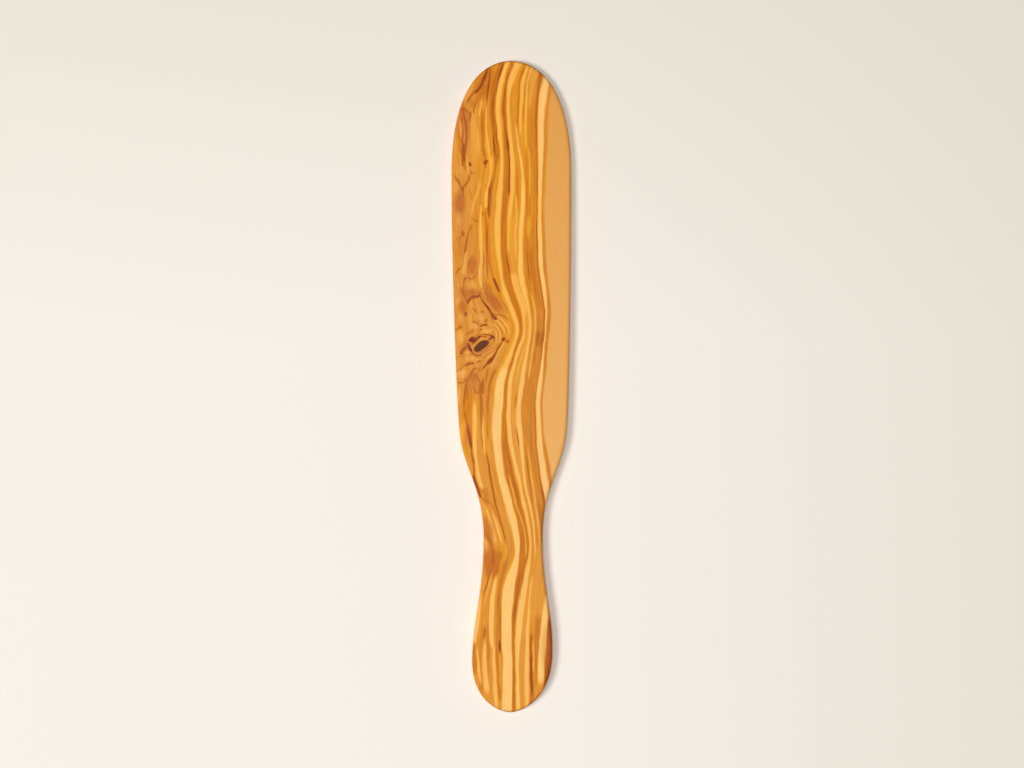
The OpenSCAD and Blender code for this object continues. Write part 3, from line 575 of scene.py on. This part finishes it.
# Patches are oval: tone, middle across and along, half width, half length and tilt.
patches = [
    (0.30, -12, 139, 5.5, 9, -22),
    (0.60, -19.6, 136.4, 1.5, 5.5, -30),
    (0.36, -18.4, 130.4, 2.4, 2.6, 0),
    (0.36, -22.6, 129.5, 1.4, 2.0, 0),
    (0.36, -22.2, 119, 3.4, 11, -3),
    (0.84, -23.4, 118.6, 0.7, 4.2, 3),
    (0.60, -17.1, 115, 2.2, 11, 2),
    (0.66, -15.3, 112, 0.8, 7, 2),
    (0.02, -11.9, 103, 1.2, 0.9, 10),
    (0.28, -12, 101.2, 0.7, 0.9, 0),
    (0.04, -19.2, 102.3, 0.9, 1.1, 20),
    (0.56, -23.2, 99.4, 2.0, 3.2, 10),
    (0.62, -25.6, 92, 1.0, 3.2, 5),
    (0.20, -22.5, 90.8, 0.9, 1.5, 0),
    (0.36, -24, 84, 2.6, 5.2, 0),
    (0.62, -24.2, 77, 1.1, 3.8, 4),
    (0.20, -22.3, 70.2, 1.0, 1.4, 20),
    (0.40, -24, 63, 2.4, 5, 0),
    (0.46, -17.5, 66, 3, 9, 0),
    (0.26, -13.1, 79.6, 0.8, 1.0, 0),
    (0.58, -14.8, 93, 1.2, 2.4, 15),
    (0.34, -17.8, 55.4, 1.5, 4.0, -3),
    (0.60, -18, 46.6, 2.6, 1.6, 0),
    (0.34, -18.5, 43, 3.6, 1.6, 0),
    (0.52, -24.7, 47.8, 1.1, 2.6, 0),
    (0.32, -8.6, 39.2, 2.2, 6.8, 42),
    (0.36, -10.4, 45, 2, 3.4, 20),
    (0.64, -24.6, 39.2, 1.0, 2.6, 0),
    (0.50, -14.8, 38.6, 2, 1.4, -15),
    (0.34, -22.4, 36.6, 2.0, 2.6, 0),
    (0.62, -18.3, 36.6, 0.5, 1.9, 0),
    (0.16, -21, 33.4, 0.9, 1.3, 0),
    (0.62, -14.3, 31.8, 2.6, 1.5, 0),
    (0.62, -18.9, 31.8, 0.9, 2.2, 0),
    (0.62, -23.2, 31.4, 1.4, 2.2, 15),
    (0.66, -17.2, 27.6, 2.2, 1.2, -10),
    (0.68, -23.4, 22.6, 1.4, 3.8, 0),
    (0.70, -11.4, 25.6, 2.4, 0.9, 0),
    (0.14, -1.9, 20.6, 0.8, 0.9, 0),
    (0.66, -20.2, 15.6, 1.4, 0.9, 0),
    (0.68, -18, 12.8, 3.8, 1.2, -5),
    (0.20, -14.9, 11.4, 1.2, 0.7, 20),
    (0.72, -22.6, 6.2, 2.6, 2.2, 20),
    (0.34, -17.4, 4.4, 1.6, 2.4, -10),
    (0.38, -14.4, 7.8, 1.8, 1.3, 20),
    (0.64, -24, -4, 0.9, 4.5, 0),
    (0.38, -20, -8, 2.4, 8, -4),
    (0.66, -22.6, -20.6, 1.3, 5.2, -6),
    (0.68, -10.9, -73.4, 0.8, 3.2, 4),
]

# Reddish wood round the knots: strength, then the oval as in the patches.
red_patches = [
    (0.55, -8.6, 39.4, 3, 8, 42),
    (0.45, -19.6, 42.6, 4.5, 3, 0),
    (0.40, -22.5, 36.6, 2.4, 3.4, 0),
    (0.50, -23.6, 84, 3, 6, 0),
    (0.35, -17.8, 55.6, 2.2, 5, 0),
    (0.45, -21.8, 118, 3, 12, 0),
    (0.45, -14, 16, 5, 2.4, 30),
    (0.50, -21.6, 18.6, 2, 4, -20),
    (0.40, -17.6, 2, 3.4, 6, 0),
    (0.35, -19.4, -20, 1.8, 8, -6),
    (0.45, -10, -67, 2.4, 6, 0),
    (0.45, -10, -80, 4, 8, 0),
    (0.35, 16.6, -120, 3, 12, 0),
]

# How golden the wood is, from 0 for rosy to 1 for golden, in large ovals.
golden_patches = [
    (0.55, 0, -100, 26, 90, 0),
    (0.95, -2, 84, 17, 90, 0),
    (0.20, -24, 40, 9, 50, 0),
    (0.15, -15, 22, 13, 22, 0),
    (0.90, -21, -22, 5, 22, -8),
    (0.20, 17, -40, 7, 60, 0),
]

# The knot's dark heart: middle across and along, half width, half length and tilt.
knot_heart = (-13.8, 18.6, 4.4, 2.1, 30)

# Where the sapwood starts: places along the length and growth layers.
sapwood_edge = [
    (150, 15.6), (132, 15.2), (100, 15.3), (84, 15.3), (66, 15.6), (50, 15.3), (38, 14.8), (24, 14.9),
    (10, 15.5), (-10, 15.4), (-28, 15.4), (-42, 15.9), (-56, 16.4), (-90, 21), (-150, 21),
]


def smooth_path(marks, at):
    """A smooth curve through (place, value) marks, read at many places."""
    p = np.array(sorted(marks), float)
    k, v = p[:, 0], p[:, 1]
    run = np.gradient(v, k)
    i = np.clip(np.searchsorted(k, at) - 1, 0, len(k) - 2)
    h = k[i + 1] - k[i]
    t = np.clip((at - k[i]) / h, 0, 1)
    value = (1 + 2 * t) * (1 - t) ** 2 * v[i] + t * t * (3 - 2 * t) * v[i + 1]
    return value + t * (1 - t) ** 2 * h * run[i] + t * t * (t - 1) * h * run[i + 1]


def growth_at(x, y):
    """Which growth layer runs through each place."""
    layers = [layer for layer, _ in growth_lines]
    across = [smooth_path(line, y) for _, line in growth_lines]
    growth = np.where(x < across[0], layers[0] + x - across[0], layers[-1] + x - across[-1])
    for k in range(len(layers) - 1):
        share = (x - across[k]) / (across[k + 1] - across[k])
        inside = (share >= 0) & (share < 1)
        growth = np.where(inside, layers[k] + share * (layers[k + 1] - layers[k]), growth)
    return growth


def band_cover(growth, y, soft, marks):
    """How much of each place one band along the growth covers. It fades out at both ends."""
    left = smooth_path([(m[0], m[1]) for m in marks], y)
    right = smooth_path([(m[0], m[2]) for m in marks], y)
    low, high = min(m[0] for m in marks), max(m[0] for m in marks)
    fade = min(4.0, (high - low) * 0.3)
    ends = ease((y - low) / fade) * ease((high - y) / fade)
    return ends * ease((growth - left) / soft / 2 + 0.5) * ease((right - growth) / soft / 2 + 0.5)


def streak_cover(x, y, width, marks):
    """How much of each place a streak through the marks covers. It is thinner at both ends."""
    k = np.arange(len(marks))
    at = np.linspace(0, len(marks) - 1, (len(marks) - 1) * 6 + 1)
    if len(marks) > 2:
        line_x = smooth_path(list(zip(k, [m[0] for m in marks])), at)
        line_y = smooth_path(list(zip(k, [m[1] for m in marks])), at)
    else:
        line_x = np.interp(at, k, [m[0] for m in marks])
        line_y = np.interp(at, k, [m[1] for m in marks])
    reach = width + 1
    beyond = 99.0
    near = (x > line_x.min() - reach) & (x < line_x.max() + reach)
    near &= (y > line_y.min() - reach) & (y < line_y.max() + reach)
    px, py = x[near], y[near]
    nearest = np.full(px.shape, beyond)
    along = np.zeros(px.shape)
    cuts = len(at) - 1
    for i in range(cuts):
        dx, dy = line_x[i + 1] - line_x[i], line_y[i + 1] - line_y[i]
        t = np.clip(((px - line_x[i]) * dx + (py - line_y[i]) * dy) / (dx * dx + dy * dy + 1e-9), 0, 1)
        far = np.hypot(px - line_x[i] - t * dx, py - line_y[i] - t * dy)
        along = np.where(far < nearest, (i + t) / cuts, along)
        nearest = np.minimum(nearest, far)
    taper = 0.25 + 0.75 * np.sqrt(np.clip(4 * along * (1 - along), 0, 1))
    cover = np.zeros_like(x)
    cover[near] = 1 - ease((nearest / (width * taper) - 0.15) / 0.75)
    return cover


def patch_cover(x, y, middle_x, middle_y, half_w, half_l, tilt):
    """How much of each place an oval patch covers. Its edge is soft."""
    a = np.radians(tilt)
    dx, dy = x - middle_x, y - middle_y
    across = (dx * np.cos(a) + dy * np.sin(a)) / half_w
    along = (dy * np.cos(a) - dx * np.sin(a)) / half_l
    return 1 - ease((np.hypot(across, along) - 0.45) / 0.85)


# The figure goes on through the board's depth, leaning a little to one side, so the rim
# and the underside carry on the lines of the face.
lean_across = 0.36
lean_along = 0.25
x, y, z = points.T
depth = rim_thickness(y) - z
face_x = x + lean_across * depth + 0.10 * depth * noise(x / 9, y / 28, 21)
face_y = y + lean_along * depth
bent_x = face_x + 0.22 * noise(face_x / 2.2, face_y / 7, 22) + 0.10 * noise(face_x / 0.8, face_y / 2.6, 23)
bent_y = face_y + 0.5 * noise(face_x / 1.6, face_y / 5, 24)
growth = growth_at(bent_x, bent_y)
tone = 0.5 + 0.05 * noise(growth / 0.9, bent_y / 30, 25)
for shade, soft, marks in bands:
    cover = band_cover(growth, bent_y, soft, marks)
    tone += (shade - tone) * cover
patch_strength = 0.85
for shade, *place in patches:
    cover = patch_strength * patch_cover(bent_x, bent_y, *place)
    tone += (shade - tone) * cover
for shade, width, marks in streaks:
    cover = streak_cover(bent_x, bent_y, width, marks)
    tone += (shade - tone) * cover
red = np.zeros_like(tone)
for strength, *place in red_patches:
    red = np.maximum(red, strength * patch_cover(bent_x, bent_y, *place))
golden = np.full_like(tone, 0.3)
for strength, *place in golden_patches:
    golden += (strength - golden) * patch_cover(bent_x, bent_y, *place)
heart = patch_cover(bent_x, bent_y, *knot_heart)
heart = ease((heart - 0.25) / 0.4)
sapwood = ease((growth - smooth_path(sapwood_edge, bent_y)) / 0.5 + 0.5)

mesh = bpy.data.meshes.new("olive_spatula")
mesh.from_pydata((points / 1000).tolist(), [], faces)
mesh.validate()
mesh.shade_smooth()
facing = np.zeros(len(points) * 3)
mesh.vertices.foreach_get("normal", facing)
facing = facing.reshape(-1, 3)

# The round ends cut across the fibres, which drink more oil there and turn darker.
end_grain = ease((np.abs(facing[:, 1]) - 0.25) / 0.6) * ease((0.95 - np.abs(facing[:, 2])) / 0.3)

for name, values in (
    ("tone", tone),
    ("growth", growth),
    ("red", red),
    ("golden", golden),
    ("heart", heart),
    ("sapwood", sapwood),
    ("end_grain", end_grain),
):
    painted = mesh.attributes.new(name, "FLOAT", "POINT")
    painted.data.foreach_set("value", values.astype(np.float32))

spatula = bpy.data.objects.new("olive_spatula", mesh)
bpy.context.scene.collection.objects.link(spatula)


def linear(red_green_blue):
    """A colour as seen on a screen, 0 to 255, as the shader's own linear values."""
    c = np.array(red_green_blue) / 255
    c = np.where(c <= 0.04045, c / 12.92, ((c + 0.055) / 1.055) ** 2.4)
    return (float(c[0]), float(c[1]), float(c[2]), 1.0)


wood = bpy.data.materials.new("oiled_olive_wood")
wood.use_nodes = True
tree = wood.node_tree
tree.nodes.clear()
link = tree.links.new


def put(kind, **settings):
    """A node of this kind in the wood's material, with its settings."""
    node = tree.nodes.new(kind)
    for name, value in settings.items():
        setattr(node, name, value)
    return node


def layer(name):
    """A value that was painted on the mesh."""
    return put("ShaderNodeAttribute", attribute_name=name).outputs["Fac"]


def worked_out(operation, a, b, c=None):
    """One step of arithmetic on sockets or numbers."""
    node = put("ShaderNodeMath", operation=operation)
    for socket, value in zip(node.inputs, (a, b, c)):
        if value is None:
            continue
        if isinstance(value, (int, float)):
            socket.default_value = value
        else:
            link(value, socket)
    return node.outputs[0]


def mixed(share, a, b, blend="MIX"):
    """Two colours mixed by a share."""
    node = put("ShaderNodeMix", data_type="RGBA", blend_type=blend)
    for socket, value in ((node.inputs[0], share), (node.inputs[6], a), (node.inputs[7], b)):
        if isinstance(value, (int, float, tuple)):
            socket.default_value = value
        else:
            link(value, socket)
    return node.outputs[2]


def fibres(across, along, detail, name):
    """Noise drawn out along the growth, with its number of fibres for each millimetre across."""
    scaled = put("ShaderNodeCombineXYZ")
    link(worked_out("MULTIPLY", layer("growth"), across), scaled.inputs[0])
    link(worked_out("MULTIPLY", length_mm, along), scaled.inputs[1])
    link(worked_out("MULTIPLY", height_mm, across * 0.3), scaled.inputs[2])
    grain = put("ShaderNodeTexNoise", label=name)
    grain.inputs["Scale"].default_value = 1.0
    grain.inputs["Detail"].default_value = detail
    link(scaled.outputs[0], grain.inputs["Vector"])
    return grain.outputs["Fac"]


def palette(share, stops):
    """Colours along a share from 0 to 1."""
    node = put("ShaderNodeValToRGB")
    stops = list(stops)
    while len(node.color_ramp.elements) < len(stops):
        node.color_ramp.elements.new(0.5)
    for element, (position, colour) in zip(node.color_ramp.elements, stops):
        element.position = position
        element.color = linear(colour)
    link(share, node.inputs[0])
    return node.outputs[0]


place = put("ShaderNodeSeparateXYZ")
link(put("ShaderNodeTexCoord").outputs["Object"], place.inputs[0])
length_mm = worked_out("MULTIPLY", place.outputs[1], 1000)
height_mm = worked_out("MULTIPLY", place.outputs[2], 1000)

fine = fibres(3.2, 0.12, 3, "fine fibres")
broad = fibres(1.1, 0.03, 2, "broad fibres")
pores = fibres(7.0, 0.9, 1, "pores")

# The painted tone, broken up by fibres, picks the wood's colour.
shade = worked_out("MULTIPLY_ADD", worked_out("SUBTRACT", fine, 0.5), 0.30, layer("tone"))
shade = worked_out("MULTIPLY_ADD", worked_out("SUBTRACT", broad, 0.5), 0.25, shade)
wood_places = (0.00, 0.15, 0.30, 0.45, 0.60, 0.80, 1.00)
golden_wood = palette(shade, zip(wood_places, (
    (96, 36, 4), (152, 66, 4), (196, 107, 6), (219, 136, 18),
    (234, 157, 42), (249, 180, 72), (254, 200, 106))))
rosy_wood = palette(shade, zip(wood_places, (
    (92, 36, 20), (146, 66, 26), (188, 107, 32), (213, 136, 50),
    (228, 157, 70), (243, 180, 98), (249, 200, 130))))
hue = worked_out("MULTIPLY_ADD", worked_out("SUBTRACT", broad, 0.5), 2.2, layer("golden"))
colour = mixed(hue, rosy_wood, golden_wood)
colour = mixed(layer("red"), colour, linear((190, 100, 44)))
sap_fibres = put("ShaderNodeMapRange")
link(fine, sap_fibres.inputs[0])
sap_fibres.inputs[1].default_value = 0.3
sap_fibres.inputs[2].default_value = 0.7
sap_along = put("ShaderNodeMapRange")
link(length_mm, sap_along.inputs[0])
sap_along.inputs[1].default_value = 150
sap_along.inputs[2].default_value = -40
sap = mixed(sap_along.outputs[0], linear((226, 157, 72)), linear((239, 178, 100)))
sap = mixed(worked_out("MULTIPLY", sap_fibres.outputs[0], 0.25), sap, linear((214, 150, 80)))
colour = mixed(layer("sapwood"), colour, sap)
colour = mixed(layer("heart"), colour, linear((98, 50, 24)))
pore_marks = put("ShaderNodeMapRange")
link(pores, pore_marks.inputs[0])
pore_marks.inputs[1].default_value = 0.66
pore_marks.inputs[2].default_value = 0.80
colour = mixed(worked_out("MULTIPLY", pore_marks.outputs[0], 0.35), colour, linear((150, 84, 34)))
colour = mixed(worked_out("MULTIPLY", layer("end_grain"), 0.55), colour, linear((120, 70, 34)))

surface = put("ShaderNodeBsdfPrincipled")
link(colour, surface.inputs["Base Color"])
surface.inputs["Specular IOR Level"].default_value = 0.13
gloss = worked_out("MULTIPLY_ADD", worked_out("SUBTRACT", broad, 0.5), 0.20, 0.64)
link(gloss, surface.inputs["Roughness"])
relief = put("ShaderNodeBump")
relief.inputs["Strength"].default_value = 0.25
relief.inputs["Distance"].default_value = 0.00006
link(fine, relief.inputs["Height"])
link(relief.outputs[0], surface.inputs["Normal"])
link(surface.outputs[0], put("ShaderNodeOutputMaterial").inputs["Surface"])

mesh.materials.append(wood)
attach(spatula, "root")
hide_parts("spatula")


# The table top: a plain matt cream surface that the spatula lies on, with painted shade: its
# colour turns greyer towards the far side and the right side. It isn't part of the object.

table_half = 4.0
table_mesh = bpy.data.meshes.new("table_top")
table_mesh.from_pydata(
    [(-table_half, -table_half, 0), (table_half, -table_half, 0),
     (table_half, table_half, 0), (-table_half, table_half, 0)],
    [], [(0, 1, 2, 3)])
table_top = bpy.data.objects.new("table_top", table_mesh)
bpy.context.scene.collection.objects.link(table_top)

paper = bpy.data.materials.new("cream_table_painted_shade")
paper.use_nodes = True
tree = paper.node_tree
tree.nodes.clear()
link = tree.links.new
place = put("ShaderNodeSeparateXYZ")
link(put("ShaderNodeTexCoord").outputs["Object"], place.inputs[0])
# Painted shade: the cream darkens towards the far side, and below towards the right side.
far = put("ShaderNodeMapRange")
far.inputs[1].default_value = 0.02
far.inputs[2].default_value = 0.20
link(place.outputs[1], far.inputs[0])
right = put("ShaderNodeMapRange")
right.inputs[1].default_value = 0.02
right.inputs[2].default_value = 0.26
link(place.outputs[0], right.inputs[0])
cream_with_painted_shade = mixed(far.outputs[0], linear((246, 239, 230)), linear((233, 226, 215)))
cream_with_painted_shade = mixed(worked_out("MULTIPLY", right.outputs[0], 0.6), cream_with_painted_shade, linear((226, 218, 206)))
matt = put("ShaderNodeBsdfDiffuse")
link(cream_with_painted_shade, matt.inputs["Color"])
link(matt.outputs[0], put("ShaderNodeOutputMaterial").inputs["Surface"])
table_mesh.materials.append(paper)


# The light: one soft lamp high on the left and one soft lamp straight above, each with
# about half of the light, and a faint glow from all round.

def soft_lamp(name, direction, distance, width, strength):
    """A square lamp that looks at the spatula. A strength of 1 lights a white face fully on its own."""
    aim = Vector(direction).normalized()
    lamp = bpy.data.lights.new(name, "AREA")
    lamp.size = width
    lamp.energy = strength * (np.pi * distance) ** 2 / aim.z
    holder = bpy.data.objects.new(name, lamp)
    holder.location = aim * distance
    holder.rotation_euler = aim.to_track_quat("Z", "Y").to_euler()
    bpy.context.scene.collection.objects.link(holder)


soft_lamp("lamp_left", (-0.52, -0.16, 0.84), 6.0, 2.1, 0.505)
soft_lamp("lamp_above", (0.0, 0.04, 1.0), 6.5, 2.4, 0.485)

world = bpy.data.worlds.new("pale_room")
bpy.context.scene.world = world
world.use_nodes = True
tree = world.node_tree
tree.nodes.clear()
link = tree.links.new
rays = put("ShaderNodeLightPath")
seen = worked_out("MAXIMUM", rays.outputs["Is Camera Ray"], rays.outputs["Is Glossy Ray"])
seen = worked_out("MAXIMUM", seen, rays.outputs["Is Transmission Ray"])
room = put("ShaderNodeBackground")
room.inputs["Color"].default_value = linear((246, 240, 232))
link(worked_out("MULTIPLY_ADD", seen, 0.94, 0.06), room.inputs["Strength"])
link(room.outputs[0], put("ShaderNodeOutputWorld").inputs["Surface"])


# The camera looks straight down at the middle of the spatula through a long lens.

view_width = 0.4711
lens = 85.0
camera = bpy.data.cameras.new("camera_above")
camera.lens = lens
camera.sensor_width = 36.0
camera_above = bpy.data.objects.new("camera_above", camera)
camera_above.location = (0.0003, 0.0011, view_width * lens / 36.0 + 0.0055)
bpy.context.scene.collection.objects.link(camera_above)
bpy.context.scene.camera = camera_above
bpy.context.scene.view_settings.view_transform = "Standard"
